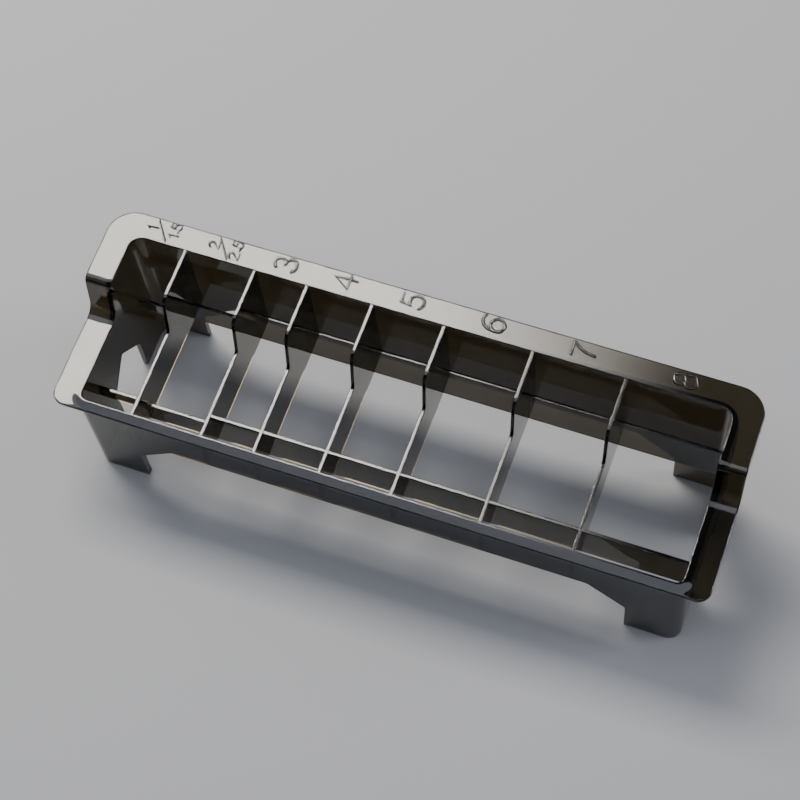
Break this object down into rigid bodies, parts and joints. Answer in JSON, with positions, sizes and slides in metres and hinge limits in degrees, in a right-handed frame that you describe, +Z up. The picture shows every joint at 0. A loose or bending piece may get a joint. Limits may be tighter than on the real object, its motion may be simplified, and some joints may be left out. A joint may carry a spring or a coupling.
{
  "type": "clipper guard tray",
  "caption": "Long stepped tray of smoky see-through plastic with upright compartments of different widths for hair clipper guard combs, on corner legs with arches between them.",
  "frame": {"origin": "on the table surface, under the middle of the tray's outer box", "axes": "+X to the right along the tray, from compartment 1 to compartment 8; +Y to the high rear edge with the numbers; +Z up"},
  "size_m": [0.2224, 0.066, 0.0645],
  "materials": {
    "smoked_plastic": "polished, see-through smoky grey-brown"
  },
  "bodies": {
    "root": {"rear_flange": "smoked_plastic", "left_flange": "smoked_plastic", "right_flange": "smoked_plastic", "front_rim": "smoked_plastic", "rear_wall": "smoked_plastic", "front_wall": "smoked_plastic", "left_end_wall": "smoked_plastic", "right_end_wall": "smoked_plastic", "rear_left_leg": "smoked_plastic", "rear_right_leg": "smoked_plastic", "front_left_leg": "smoked_plastic", "front_right_leg": "smoked_plastic", "divider_1": "smoked_plastic", "divider_2": "smoked_plastic", "divider_3": "smoked_plastic", "divider_4": "smoked_plastic", "divider_5": "smoked_plastic", "divider_6": "smoked_plastic", "divider_7": "smoked_plastic", "rear_rest_bar_1": "smoked_plastic", "rear_rest_bar_2": "smoked_plastic", "rear_rest_bar_3": "smoked_plastic", "rear_rest_bar_4": "smoked_plastic", "rear_rest_bar_5": "smoked_plastic", "rear_rest_bar_6": "smoked_plastic", "rear_rest_bar_7": "smoked_plastic", "rear_rest_bar_8": "smoked_plastic", "front_rest_bar_1": "smoked_plastic", "front_rest_bar_2": "smoked_plastic", "front_rest_bar_3": "smoked_plastic", "front_rest_bar_4": "smoked_plastic", "front_rest_bar_5": "smoked_plastic", "front_rest_bar_6": "smoked_plastic", "front_rest_bar_7": "smoked_plastic", "front_rest_bar_8": "smoked_plastic"}
  },
  "joints": []
}
